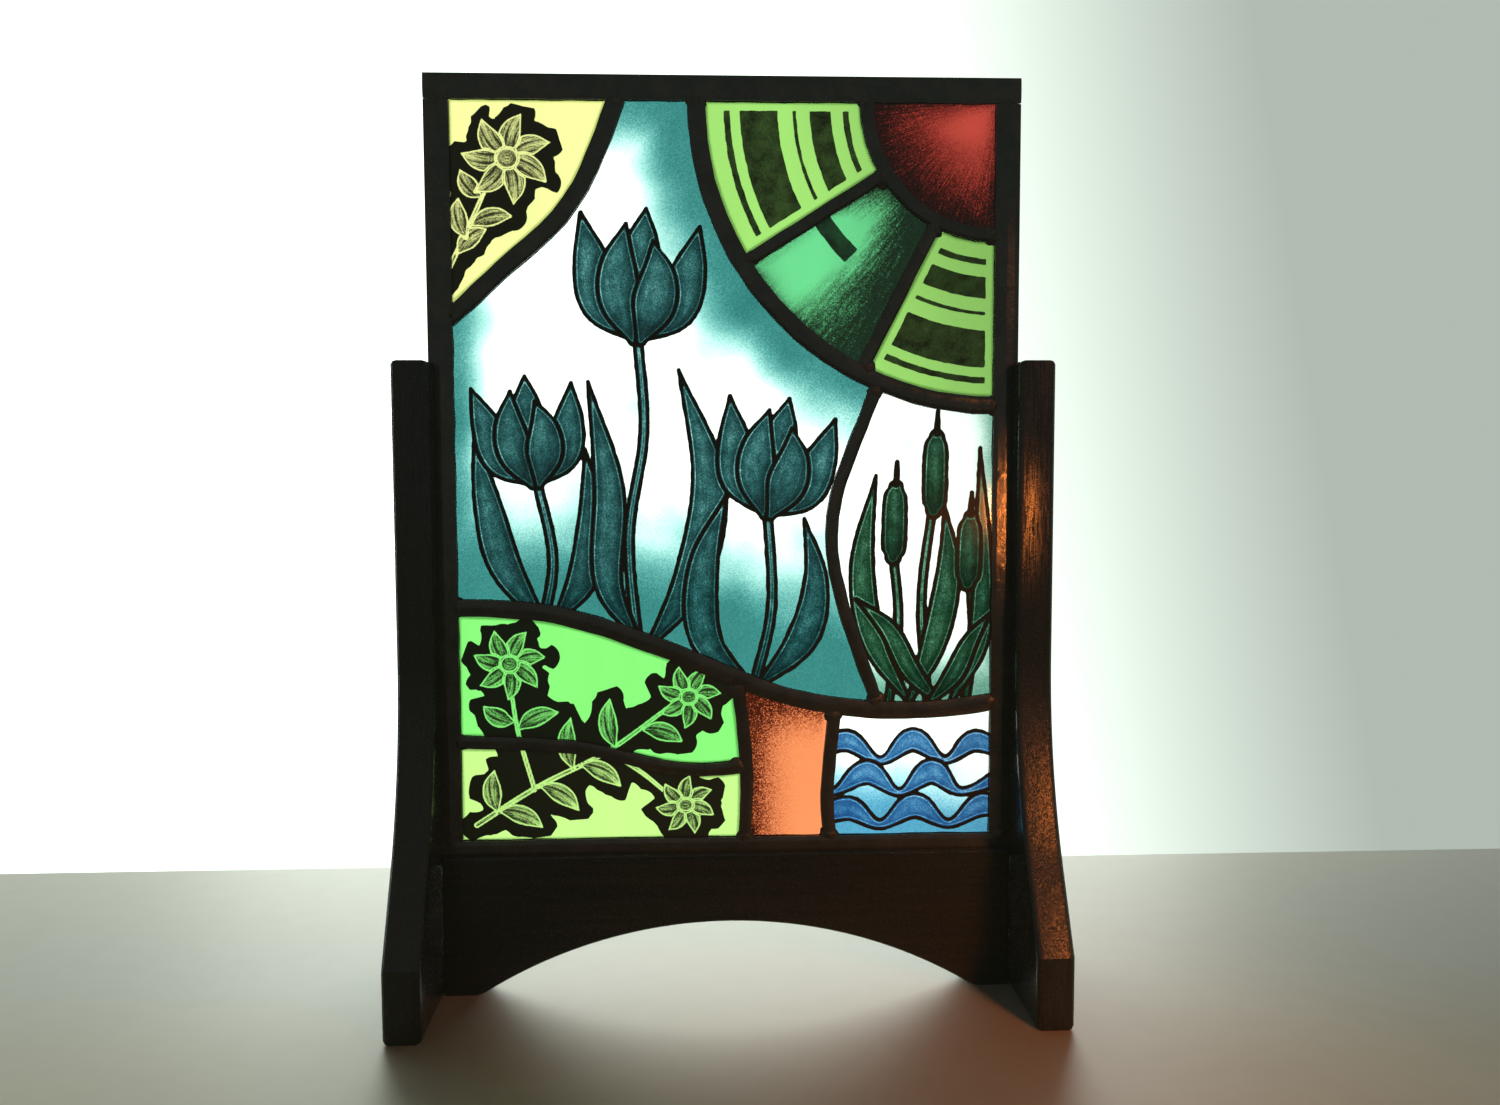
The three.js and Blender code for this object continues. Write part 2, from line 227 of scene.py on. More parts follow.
WARM = (1, 0.25, 0.045)
lamp("back_light", (0.0, 0.88, 0.33), (0, 0, 0.03), 1.2, 0.4, 8.3, (0.92, 1, 0.92))
lamp("warm_lamp", (0.41, -0.69, 0.40), (0.13, -0.07, 0.05), 0.12, 0.26, 0.085, WARM, 38)
lamp("low_warm_lamp", (0.3185, -0.71, 0.221), (0.1225, 0, 0.247), 0.02, 0.04, 0.0026, WARM, 6)


# The stand: two sawn and flared legs with rounded edges, and an arched rail between them. The hardwood is
# stained almost black and waxed, so its brown shows only where the light falls on it.
def copy_solid(node, name):
    """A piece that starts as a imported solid's own shape, with its loose triangles joined up."""
    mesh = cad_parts[node].data.copy()
    mesh.name = name
    mesh.materials.clear()
    piece = bpy.data.objects.new(name, mesh)
    bpy.context.scene.collection.objects.link(piece)
    bpy.ops.object.select_all(action="DESELECT")
    piece.select_set(True)
    bpy.context.view_layer.objects.active = piece
    bpy.ops.mesh.customdata_custom_splitnormals_clear()
    bpy.ops.object.mode_set(mode="EDIT")
    bpy.ops.mesh.select_all(action="SELECT")
    bpy.ops.mesh.remove_doubles(threshold=1e-6)
    bpy.ops.object.mode_set(mode="OBJECT")
    return piece


def settle(piece, slot, *nodes):
    """Fixes a finished piece in place, where it stands for these solids. The slot is not used."""
    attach(piece, "root")
    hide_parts(*nodes)


ARRIS_ROUND = 0.0007
FLAT_TURN, CURVE_TURN, ARRIS_TURN = (math.radians(turn) for turn in (0.3, 17, 35))
GRAIN_STRETCH = 0.035


def stained_wood(name, along):
    """Stained wood with its grain along one axis, 0 for X and 2 for Z, and coarser where it is sawn."""
    material, start, output = bare_finish(name)
    place = start.node("TexCoord", output="Object")
    sawn = start.node("Attribute", {"attribute_name": "sawn"}, output=2)
    along_grain = place.stretched(*(GRAIN_STRETCH if axis == along else 1 for axis in range(3)))
    figure = along_grain.cloud(260, detail=5, roughness=0.6, distortion=0.6)
    pores = along_grain.cloud(1900, detail=3, roughness=0.7)
    specks = place.cloud(1100, detail=2, roughness=0.6)
    brown = figure.rise(0.3, 0.7).blend((0.0115, 0.0125, 0.0125, 1), (0.025, 0.0215, 0.021, 1))
    brown = (specks.rise(0.58, 0.68) * (0.2 + sawn * 0.3)).blend(brown, (0.045, 0.025, 0.015, 1))
    brown = pores.rise(0.6, 0.68).blend(brown, (0.005, 0.005, 0.0045, 1))
    height = figure * (0.25 + sawn * 1.1) + specks * (0.15 + sawn * 0.8)
    height = height - pores.rise(0.5, 0.7) * (0.15 + sawn * 0.4)
    relief = start.node("Bump", {}, {"Strength": 0.6, "Distance": 0.00025, "Height": height})
    dull = (pores * 1.3 + specks * 0.7).rise(0.88, 1.12) * sawn
    rough = 0.12 + figure * 0.08 + specks.rise(0.4, 0.7) * 0.15 + dull * 0.2
    wax = (sawn - dull) * 0.33
    wood = principled(
        start, Base_Color=brown, Roughness=rough, Normal=relief, Coat_Weight=wax, Coat_Roughness=0.16
    )
    show(start, output, wood)
    return material


upright, lying = stained_wood("stained_leg", 2), stained_wood("stained_rail", 0)
for node, finish, thin in (("leg_left", upright, 0), ("leg_right", upright, 0), ("arched_rail", lying, 1)):
    piece = copy_solid(node, "wood_" + node)
    bpy.ops.object.mode_set(mode="EDIT")
    bpy.ops.mesh.dissolve_limited(angle_limit=FLAT_TURN)
    bpy.ops.object.mode_set(mode="OBJECT")
    rounding = piece.modifiers.new("rounding", "BEVEL")
    rounding.width = ARRIS_ROUND
    rounding.segments = 6
    rounding.limit_method = "ANGLE"
    rounding.angle_limit = ARRIS_TURN
    bpy.ops.object.modifier_apply(modifier="rounding")
    bpy.ops.object.shade_smooth_by_angle(angle=CURVE_TURN)
    shading = piece.modifiers.new("shading", "WEIGHTED_NORMAL")
    shading.keep_sharp = True
    bpy.ops.object.modifier_apply(modifier="shading")
    edges = [float(abs(face.normal[thin]) < 0.5) for face in piece.data.polygons]
    piece.data.attributes.new("sawn", "FLOAT", "FACE").data.foreach_set("value", edges)
    piece.data.materials.append(finish)
    settle(piece, "stand_wood", node)


# The leads: lead cames blackened with patina, one for each line between the panes and four wider ones round the
# panel. Their crowned leaves are pressed down by hand, so their edges run a little unevenly.
LONGEST_FACET = 0.0035
MOST_CUTS = 9
PANEL_EDGE = 0.005
CROWN_TURN = math.radians(32)
LEAF_WANDER = 0.00045
WANDER_LENGTH = 0.012
WANDER_SEED = 1

dark_lead, start, output = bare_finish("dark_lead")
place = start.node("TexCoord", output="Object")
patches = place.cloud(90, detail=4, roughness=0.6)
scuffs = place.cloud(900, detail=3, roughness=0.6)
grey = patches.rise(0.35, 0.7).blend((0.085, 0.090, 0.088, 1), (0.125, 0.125, 0.118, 1))
grey = scuffs.rise(0.6, 0.75).blend(grey, (0.19, 0.175, 0.15, 1))
relief = start.node("Bump", {}, {"Strength": 0.6, "Distance": 0.0003, "Height": patches + scuffs * 0.25})
rough = 0.09 + patches * 0.14
show(start, output, principled(start, Base_Color=grey, Metallic=0.5, Roughness=rough, Normal=relief))

lead_nodes = [name for name in sorted(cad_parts) if name.startswith(("came_", "border_lead_"))]
panel_low, panel_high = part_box("border_lead_bottom")[0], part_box("border_lead_top")[1]
inside_x = panel_high.x - PANEL_EDGE
inside_low, inside_high = panel_low.z + PANEL_EDGE, panel_high.z - PANEL_EDGE
lead_shapes, leading_places, leading_faces = {}, [], []
# Without a seed, noise_vector starts from the clock and the leads would differ in each run.
noise.seed_set(WANDER_SEED)
for node in lead_nodes:
    piece = copy_solid(node, "dressed_" + node)
    places = [v.co.copy() for v in piece.data.vertices]
    faces = [tuple(p.vertices) for p in piece.data.polygons]
    lead_shapes[node] = BVHTree.FromPolygons(places, faces)
    leading_faces += [[corner + len(leading_places) for corner in face] for face in faces]
    leading_places += places
    for _ in range(MOST_CUTS):
        mesh = piece.data
        far = [(mesh.vertices[a].co - mesh.vertices[b].co).length > LONGEST_FACET for a, b in mesh.edge_keys]
        if not any(far):
            break
        bpy.ops.object.mode_set(mode="EDIT")
        bpy.ops.mesh.select_mode(type="EDGE")
        bpy.ops.mesh.select_all(action="DESELECT")
        bpy.ops.object.mode_set(mode="OBJECT")
        for edge in mesh.edges:
            a, b = edge.vertices
            edge.select = (mesh.vertices[a].co - mesh.vertices[b].co).length > LONGEST_FACET
        bpy.ops.object.mode_set(mode="EDIT")
        bpy.ops.mesh.subdivide(number_cuts=1)
        bpy.ops.mesh.select_all(action="SELECT")
        bpy.ops.mesh.quads_convert_to_tris()
        bpy.ops.object.mode_set(mode="OBJECT")
    for vertex in piece.data.vertices:
        if abs(vertex.co.x) < inside_x and inside_low < vertex.co.z < inside_high:
            wander = noise.noise_vector(vertex.co / WANDER_LENGTH) * LEAF_WANDER
            vertex.co += Vector((wander.x, 0, wander.z))
    bpy.ops.object.shade_smooth_by_angle(angle=CROWN_TURN)
    piece.data.materials.append(dark_lead)
    settle(piece, "lead", node)
leading = BVHTree.FromPolygons(leading_places, leading_faces)


# The solder: a low blob over every joint of the leads, front and back, that holds the panel together. It sets
# smooth and goes a browner black than the lead.
JOINT_GAP = 0.0006
JOINT_SPREAD = 0.009
FEWEST_CORNERS = 4
SOLDER_LONG, SOLDER_WIDE = 0.0050, 0.0040
SOLDER_FOOT, SOLDER_TOP = 0.0017, 0.00305
SOLDER_SWELL = 0.28
SOLDER_CROWN = 1.6
CORNER_INSET = 0.0063
BLOB_TURN = math.radians(50)

joints = []
for node in lead_nodes:
    if node.startswith("border"):
        continue
    corners = {tuple(v.co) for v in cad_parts[node].data.vertices}
    for other in lead_nodes:
        if other == node:
            continue
        ends = [Vector(c) for c in corners if lead_shapes[other].find_nearest(c)[3] < JOINT_GAP]
        groups = []
        for end in ends:
            group = next((g for g in groups if (g[0] - end).length < 2 * JOINT_SPREAD), None)
            if group:
                group.append(end)
            else:
                groups.append([end])
        for group in groups:
            joint = sum(group, Vector()) / len(group)
            if len(group) >= FEWEST_CORNERS and all((joint - known).length > JOINT_SPREAD for known in joints):
                joints.append(joint)
for x in (panel_low.x + CORNER_INSET, panel_high.x - CORNER_INSET):
    for z in (panel_low.z + 2 * CORNER_INSET, panel_high.z - 2 * CORNER_INSET):
        joints.append(Vector((x, 0, z)))

bpy.ops.object.select_all(action="DESELECT")
bpy.ops.mesh.primitive_uv_sphere_add(segments=28, ring_count=14, radius=1, rotation=(math.pi / 2, 0, 0))
blob = start_piece("solder_blob")
bpy.ops.object.transform_apply(location=True, rotation=True, scale=True)
bpy.ops.object.mode_set(mode="EDIT")
bpy.ops.mesh.select_all(action="SELECT")
bpy.ops.mesh.bisect(plane_co=(0, -0.02, 0), plane_no=(0, 1, 0), use_fill=True, clear_outer=True)
bpy.ops.object.mode_set(mode="OBJECT")

brown_solder, start, output = bare_finish("brown_solder")
place = start.node("TexCoord", output="Object")
lumps = place.cloud(420, detail=3, roughness=0.6)
tarnish = lumps.rise(0.35, 0.7).blend((0.075, 0.072, 0.066, 1), (0.15, 0.125, 0.10, 1))
relief = start.node("Bump", {}, {"Strength": 0.7, "Distance": 0.0003, "Height": lumps})
rough = 0.28 + place.cloud(1500) * 0.25
show(start, output, principled(start, Base_Color=tarnish, Metallic=0.7, Roughness=rough, Normal=relief))

for side, face in (("front", 1), ("back", -1)):
    blobs = []
    for number, joint in enumerate(joints):
        mesh = blob.data.copy()
        turn = noise.noise(joint * 900) * math.pi
        for vertex in mesh.vertices:
            x, y, z = vertex.co
            swell = 1 + SOLDER_SWELL * noise.noise(Vector((x, z, number + 50 * face)) * 1.3)
            across, up = x * SOLDER_LONG * swell, z * SOLDER_WIDE * swell
            depth = SOLDER_FOOT + (SOLDER_TOP - SOLDER_FOOT) * min(1, max(0, -y)) ** SOLDER_CROWN
            vertex.co = (
                joint.x + across * math.cos(turn) - up * math.sin(turn),
                -face * depth,
                joint.z + across * math.sin(turn) + up * math.cos(turn),
            )
        blobs.append(bpy.data.objects.new(f"solder_{side}_{number}", mesh))
        bpy.context.scene.collection.objects.link(blobs[-1])
    bpy.ops.object.select_all(action="DESELECT")
    for one in blobs:
        one.select_set(True)
    bpy.context.view_layer.objects.active = blobs[0]
    bpy.ops.object.join()
    piece = start_piece("solder_" + side)
    bpy.ops.object.mode_set(mode="EDIT")
    bpy.ops.mesh.select_all(action="SELECT")
    bpy.ops.mesh.normals_make_consistent(inside=False)
    bpy.ops.object.mode_set(mode="OBJECT")
    bpy.ops.object.shade_smooth_by_angle(angle=BLOB_TURN)
    piece.data.materials.append(brown_solder)
    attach(piece, "root")
bpy.data.objects.remove(blob)


# The meadow pane: clear glass with three tulips, painted and fired on its front face. Outlines in black paint
# come first, then teal enamel in the petals and leaves, and a teal wash breathed on along the leads.
PAINT_CELL = 0.0008
FAR = 50.0
SLANT = 0.7
LINE_REACH = 12.0
UNDER_LEAD = 0.3
GROUND_REACH = 7.0


def smooth_run(points, steps):
    """The points of a smooth line through those given, each with its place and its half width."""
    given = np.array(points, float)
    ends = np.vstack([2 * given[0] - given[1], given, 2 * given[-1] - given[-2]])
    t = np.linspace(0, 1, steps, endpoint=False)[:, None]
    spans = [
        b + 0.5 * t * (c - a + t * (2 * a - 5 * b + 4 * c - d + t * (3 * (b - c) + d - a)))
        for a, b, c, d in zip(ends, ends[1:], ends[2:], ends[3:])
    ]
    return np.vstack([*spans, given[-1:]])


def beside(spots, run):
    """For each spot: how far to the left of the run it is, how far along, and the run's half width there."""
    start, step = run[:-1, :2], np.diff(run[:, :2], axis=0)
    length = np.hypot(*step.T)
    passed = np.concatenate([[0], np.cumsum(length)])[:-1]
    offset = spots[:, None] - start
    share = np.clip((offset * step).sum(2) / length**2, 0, 1)
    gap = offset - share[..., None] * step
    far = np.hypot(gap[..., 0], gap[..., 1])
    best = far.argmin(1)
    rows = np.arange(len(spots))
    share = share[rows, best]
    left = np.sign(step[best, 0] * offset[rows, best, 1] - step[best, 1] * offset[rows, best, 0])
    half = run[best, 2] * (1 - share) + run[best + 1, 2] * share
    return left * far[rows, best], passed[best] + share * length[best], half


class Painting:
    """What is painted on one pane's face, in millimetres: how far each spot is from the nearest outline, bar
    and shape, how thick the wash is there, and where the spot lies across and along the brush."""

    def __init__(self, face, spots, rim):
        self.face, self.spots, self.rim = face, spots, rim
        self.right, self.up = spots.T
        self.line, self.bar, self.edge = np.full((3, len(spots)), FAR)
        self.wash = np.zeros(len(spots))
        self.across = (self.right + self.up) * SLANT
        self.along = (self.right - self.up) * SLANT

    def reach(self, points, steps):
        """The spots near a line, and how far across, along and outside it each one lies."""
        run = smooth_run(points, steps)
        margin = run[:, 2].max() + LINE_REACH
        low, high = run[:, :2].min(0) - margin, run[:, :2].max(0) + margin
        near = np.flatnonzero(((self.spots > low) & (self.spots < high)).all(1))
        across, along, half = beside(self.spots[near], run)
        return near, across, along, np.abs(across) - half

    def shape(self, *points, steps=8):
        """A petal, leaf or stem along a smooth line, laid over what is there."""
        near, across, along, over = self.reach(points, steps)
        inside = over < 0
        self.line[near] = np.where(inside, -over, np.minimum(self.line[near], over))
        self.edge[near] = np.where(inside, over, np.minimum(self.edge[near], over))
        self.across[near] = np.where(inside, across, self.across[near])
        self.along[near] = np.where(inside, along, self.along[near])

    def stripe(self, *points, steps=8):
        """A solid bar of black paint along a smooth line."""
        near, _, _, over = self.reach(points, steps)
        self.bar[near] = np.minimum(self.bar[near], over)

    def cut_out(self, *points):
        """A shape left light in a dark ground, which reaches a little beyond it."""
        self.stripe(*((x, z, half + GROUND_REACH) for x, z, half in points), steps=6)
        self.shape(*points, steps=6)

    def breathe(self, distance, depth, strength):
        """A wash that is thickest where the distance is 0 and thins away over the depth."""
        self.wash = np.maximum(self.wash, strength * np.exp(-((np.maximum(distance, 0) / depth) ** 2)))


def cut_pane(node):
    """A pane cut to its solid's outline, with a fine mesh on its painted face, and its blank Painting."""
    cutter = copy_solid(node, "cutter")
    cutter.data.transform(Matrix.Diagonal((1, 2, 1, 1)))
    low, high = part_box(node)
    columns, rows = (math.ceil((high[axis] - low[axis]) / PAINT_CELL) + 4 for axis in (0, 2))
    bpy.ops.object.select_all(action="DESELECT")
    bpy.ops.mesh.primitive_grid_add(
        x_subdivisions=columns,
        y_subdivisions=rows,
        size=1,
        location=((low.x + high.x) / 2, low.y, (low.z + high.z) / 2),
        rotation=(math.pi / 2, 0, 0),
    )
    pane = start_piece("painted_" + node)
    pane.scale = (columns * PAINT_CELL, rows * PAINT_CELL, 1)
    bpy.ops.object.transform_apply(location=True, rotation=True, scale=True)
    bpy.ops.object.mode_set(mode="EDIT")
    bpy.ops.mesh.select_mode(type="EDGE")
    bpy.ops.mesh.select_all(action="DESELECT")
    bpy.ops.mesh.select_non_manifold()
    bpy.ops.mesh.extrude_region_move(TRANSFORM_OT_translate={"value": (0, high.y - low.y, 0)})
    bpy.ops.mesh.edge_face_add()
    bpy.ops.mesh.select_all(action="SELECT")
    bpy.ops.mesh.normals_make_consistent(inside=False)
    bpy.ops.object.mode_set(mode="OBJECT")
    cut = pane.modifiers.new("cut", "BOOLEAN")
    cut.operation, cut.solver, cut.object = "INTERSECT", "MANIFOLD", cutter
    bpy.ops.object.modifier_apply(modifier="cut")
    bpy.data.objects.remove(cutter)
    face = [v.index for v in pane.data.vertices if v.co.y < low.y + 1e-5]
    places = [pane.data.vertices[i].co for i in face]
    spots = np.array([(p.x, p.z) for p in places]) * 1000
    to_lead = np.array([leading.find_nearest(p)[3] for p in places]) * 1000
    return pane, Painting(face, spots, np.sqrt(np.maximum(to_lead**2 - UNDER_LEAD**2, 0)))


# How bright the wall looks through bare glass, in red, green and blue.
BEHIND = (1.42, 1.61, 1.43)


def seen(*screen):
    """How much light a glass passes that shows this colour, in screen values, before the bright wall."""
    return [((value / 255 + 0.055) / 1.055) ** 2.4 / light for value, light in zip(screen, BEHIND)]


def painted_glass(name, bare, wash, enamel=None, *, clouded, brushed=0.0, stippled=0.5, scratched=False):
    """A pane's finish. bare is what the glass passes, wash and enamel what a full coat of each lets through.
    clouded, brushed and stippled say how uneven the wash is, and a scratched pane has a black ground."""
    material, start, output = bare_finish(name)
    place = start.node("TexCoord", output="Object")
    strokes = start.node("Attribute", {"attribute_name": "strokes"}, output=1)
    brush = start.node("Attribute", {"attribute_name": "brush"}, output=1)
    line, bar, washed = (strokes.part(axis) for axis in range(3))
    edge, across, along = (brush.part(axis) for axis in range(3))
    hairs = brush.stretched(0, 1.1, 0.06).cloud(1.0, detail=3) - 0.5
    waver = place.cloud(200) - 0.5
    mottle = place.cloud(130, detail=4, roughness=0.55) - 0.5
    grit = place.cloud(1600, roughness=0.6) - 0.5

    def coat(tint, thickness):
        """What a coat of this tint passes. It counts twice, as light crosses two faces and one is coated."""
        return start.node("Gamma", {}, {"Color": [*tint, 1], "Gamma": (thickness * 2).most(0.0)})

    def under(first, second):
        """One colour seen through another."""
        return first.node("VectorMath", {"operation": "MULTIPLY"}, {0: first, 1: second})

    # The bare glass, a little darker in its reams
    reams = place.stretched(1, 1, 0.15).cloud(45)
    glass = reams.rise(0.3, 0.7).blend([*(b * 0.94 for b in bare), 1], [*bare, 1])

    # The wash, which is thinner inside the shapes
    inside = 1 - edge.rise(-0.15, 0.15)
    drift = place.cloud(24, detail=1.5) - 0.5
    breath = (washed * (1 + hairs * brushed + grit * stippled) + drift * clouded).rise(0.0, 1.0)
    glass = under(glass, coat(wash, breath * (1 - inside * 0.75) * (1 + grit * 0.6)))

    # The enamel in the shapes: thick beside their outlines and at their foot, thin on one side and in a fine rim
    depth = line.rise(1.0, 6.0)
    foot = 1 - along.rise(2, 26)
    if enamel:
        lit = (across * 0.12).most(-1.0).least(1.0)
        thin = line.rise(1.2, 1.45) * (1 - line.rise(1.6, 2.0)) * 0.7
        shaded = 1.35 - depth * 0.4 - lit * 0.15 + foot * 0.35
        shaded = shaded + mottle * 0.9 + grit * 1.3 + hairs * 0.5 - thin
        glass = under(glass, coat(enamel, shaded.most(0.2) * inside))

    # The black paint: a ground with a bitten edge and hatched shapes, or outlines and bars
    if scratched:
        bites = (0.62 - place.node("TexVoronoi", {}, {"Vector": place, "Scale": 95})) * 9
        ground = 1 - (bar + bites.most(0.0).least(4.4) + waver * 0.6).rise(-0.15, 0.15)
        hatched = 0.68 + hairs * 2.4 + grit * 1.2 + mottle + foot * 0.15 - depth * 0.2
        hatched = hatched.most(0.15).least(0.97)
        rim = line.rise(0.1, 0.3) * (1 - line.rise(0.7, 1.0))
        cut = hatched * (1 - rim * 0.85)
        paint = ground * (0.996 - inside * (0.996 - cut))
    else:
        drawn = 1 - (line + waver * 0.7 + mottle).rise(0.8, 1.05)
        barred = 1 - (bar + waver).rise(-0.15, 0.15)
        paint = drawn.most(barred * (0.955 + mottle * 0.16 + grit * 0.12))
    relief = start.node("Bump", {}, {"Strength": 0.15, "Distance": 0.0004, "Height": reams})
    clear = principled(
        start, Base_Color=glass, Transmission_Weight=1.0, Roughness=0.05, IOR=1.52, Normal=relief
    )
    black = principled(start, Base_Color=(0.014, 0.012, 0.009, 1), Roughness=0.62, Normal=relief)
    show(start, output, start.node("MixShader", {}, {0: paint.least(1.0).most(0.0), 1: clear, 2: black}))
    return material


def fire(pane, painting, slot, node, material):
    """Fixes the painting on the pane's face, and the pane in its place between the leads."""
    count = len(pane.data.vertices)
    strokes, brush = np.zeros((2, count, 3), np.float32)
    strokes[:, :2] = FAR
    strokes[painting.face] = np.column_stack([painting.line, painting.bar, painting.wash])
    brush[:, 0] = FAR
    brush[painting.face] = np.column_stack([painting.edge, painting.across, painting.along])
    for name, values in (("strokes", strokes), ("brush", brush)):
        pane.data.attributes.new(name, "FLOAT_VECTOR", "POINT").data.foreach_set("vector", values.ravel())
    pane.data.materials.clear()
    pane.data.materials.append(material)
    settle(pane, slot, node)


def tulip(painting, x, z, size, lean):
    """A tulip's head of five petals, with its foot at x, z and its tips leaning to the right."""
    petals = (
        ((0.0, 0.10, 0.05), (-0.02, 0.50, 0.20), (0.01, 0.80, 0.13), (0.03, 1.06, 0.005)),
        ((-0.04, 0.03, 0.04), (-0.30, 0.28, 0.16), (-0.40, 0.62, 0.14), (-0.50, 1.00, 0.005)),
        ((0.04, 0.03, 0.04), (0.30, 0.26, 0.16), (0.40, 0.58, 0.14), (0.47, 0.94, 0.005)),
        ((-0.03, 0.0, 0.04), (-0.15, 0.30, 0.16), (-0.18, 0.60, 0.14), (-0.13, 0.93, 0.005)),
        ((0.03, 0.0, 0.04), (0.12, 0.27, 0.17), (0.15, 0.53, 0.14), (0.10, 0.80, 0.005)),
    )
    for petal in petals:
        turned = []
        for right, up, half in petal:
            right, up = right * size, up * size
            leaned_x = x + right * math.cos(lean) + up * math.sin(lean)
            leaned_z = z + up * math.cos(lean) - right * math.sin(lean)
            turned.append((leaned_x, leaned_z, half * size))
        painting.shape(*turned)


SUN_CENTRE = (137.5, 455.8)

pane, meadow = cut_pane("pane_meadow_teal")
above_ground = meadow.up - 172 + meadow.right * 0.25
meadow.breathe(above_ground - 2, 48, 1.15)
meadow.breathe(np.hypot(meadow.right - SUN_CENTRE[0], meadow.up - SUN_CENTRE[1]) - 154, 27, 1.0)
meadow.breathe(460 - meadow.up, 26, 0.95)
meadow.breathe(meadow.right + 138, 14, 0.8)
meadow.shape((-45, 172, 2.4), (-50, 236, 2.2), (-42, 290, 2.1), (-45, 342, 2.0))
meadow.shape((-95, 190, 2.4), (-89, 226, 2.2), (-97, 268, 2.0))
meadow.shape((13, 156, 2.4), (23, 200, 2.2), (21, 252, 2.0))
meadow.shape((-92, 190, 1), (-113, 222, 8), (-122, 256, 6.5), (-128, 290, 0.2))
meadow.shape((-90, 192, 1), (-74, 216, 7.5), (-69, 248, 6.5), (-72, 282, 0.2))
meadow.shape((-42, 178, 1), (-18, 216, 9), (-9, 266, 8.5), (-24, 322, 0.2))
meadow.shape((-46, 184, 1), (-61, 214, 7), (-60, 262, 7.5), (-70, 316, 0.2))
meadow.shape((12, 160, 1), (-11, 184, 8), (-12, 222, 7.5), (0, 258, 0.2))
meadow.shape((15, 158, 1), (39, 184, 8), (46, 214, 6), (40, 246, 0.2))
tulip(meadow, -45, 337, 62, 0.05)
tulip(meadow, -97, 264, 52, -0.12)
tulip(meadow, 21, 248, 57, 0.16)
CLEAR = (0.93, 0.97, 0.97)


def tint_for(colour, bare):
    """What a coat lets through that gives bare glass this colour."""
    return [c / b for c, b in zip(colour, bare)]


finish = painted_glass(
    "meadow_glass", CLEAR, tint_for(seen(56, 138, 132), CLEAR), tint_for(seen(38, 92, 91), CLEAR), clouded=0.9
)
fire(pane, meadow, "glass_teal", "pane_meadow_teal", finish)


# The reeds pane: clear glass with bulrushes and blades in dark green enamel, outlined in black.
pane, reeds = cut_pane("pane_reeds_green")
for x, foot, bend, head in ((84, 150, 89, 230), (105, 148, 101, 256), (124, 147, 128, 218)):
    reeds.shape((x, foot, 2.2), (bend, (foot + head) / 2, 2.0), (x + 2, head, 1.8))
for points in (
    ((96, 148, 1), (76, 182, 6), (70, 222, 6), (77, 268, 0.2)),
    ((94, 148, 1), (108, 182, 6.5), (115, 218, 6), (113, 252, 0.2)),
    ((116, 148, 1), (131, 182, 5.5), (133, 226, 4.5), (131, 282, 0.2)),
    ((112, 148, 1), (96, 166, 5), (84, 188, 4.5), (67, 204, 0.2)),
    ((104, 148, 1), (118, 164, 5), (127, 182, 4), (137, 196, 0.2)),
):
    reeds.shape(*points)
for x, foot, head in ((86, 226, 262), (107, 250, 288), (125, 212, 246)):
    reeds.shape((x, foot, 3.8), (x + 0.5, foot + 6, 6.0), (x + 1, head - 7, 5.8), (x + 1.5, head, 3.4))
    reeds.shape((x + 1.5, head + 2, 1.1), (x + 2, head + 13, 0.4))
reeds.breathe(reeds.up - 152, 20, 0.8)
reeds.breathe(142 - reeds.right, 11, 0.7)
finish = painted_glass(
    "reeds_glass", CLEAR, tint_for(seen(96, 160, 136), CLEAR), tint_for(seen(38, 87, 60), CLEAR), clouded=0.7
)
fire(pane, reeds, "glass_clear_green", "pane_reeds_green", finish)


# The water pane: clear glass with rolling waves in blue enamel and a blue wash rising from its foot.
pane, water = cut_pane("pane_water_blue")
for points in (
    ((44, 122, 1.8), (62, 130, 5.6), (80, 119, 2), (97, 130, 6), (114, 119, 2), (130, 129, 5.6), (148, 120, 1.8)),
    ((44, 106, 2.4), (56, 103, 2), (73, 113, 6.4), (90, 102, 2), (107, 113, 6.6), (123, 102, 2), (148, 112, 5)),
    ((44, 88, 4), (63, 94, 6.2), (80, 85, 2.4), (98, 95, 6.6), (116, 85, 2.2), (134, 95, 6.2), (148, 88, 2)),
):
    water.shape(*points)
water.breathe(water.up - 80 + (water.right - 60) * 0.14, 26, 1.3)
finish = painted_glass(
    "water_glass", CLEAR, tint_for(seen(84, 168, 200), CLEAR), tint_for(seen(72, 136, 182), CLEAR), clouded=0.7
)
fire(pane, water, "glass_blue", "pane_water_blue", finish)


# The two hill panes: bright green and yellow green glass with a leafy branch and daisies that run across the
# lead between them. A ground of black paint is laid on, and the leaves and flowers are scratched out of it.
def leaflet(painting, x, z, degrees, length, half):
    """A pointed leaf from its foot at x, z, bowed a little to its left."""
    angle = math.radians(degrees)
    points = []
    for share, width, bow in ((0, 0.12, 0), (0.32, 0.92, 0.09), (0.66, 0.86, 0.09), (1, 0.03, 0)):
        right = share * math.cos(angle) - bow * math.sin(angle)
        up = share * math.sin(angle) + bow * math.cos(angle)
        points.append((x + right * length, z + up * length, width * half))
    painting.cut_out(*points)


def daisy(painting, x, z, size, petals, turn):
    """A flower of equal petals round a small disc, its first petal turned by this many degrees."""
    for number in range(petals):
        leaflet(painting, x, z, turn + number * 360 / petals, size, size * 0.24)
    painting.cut_out((x - 0.5, z, 0.22 * size), (x + 0.5, z, 0.22 * size))


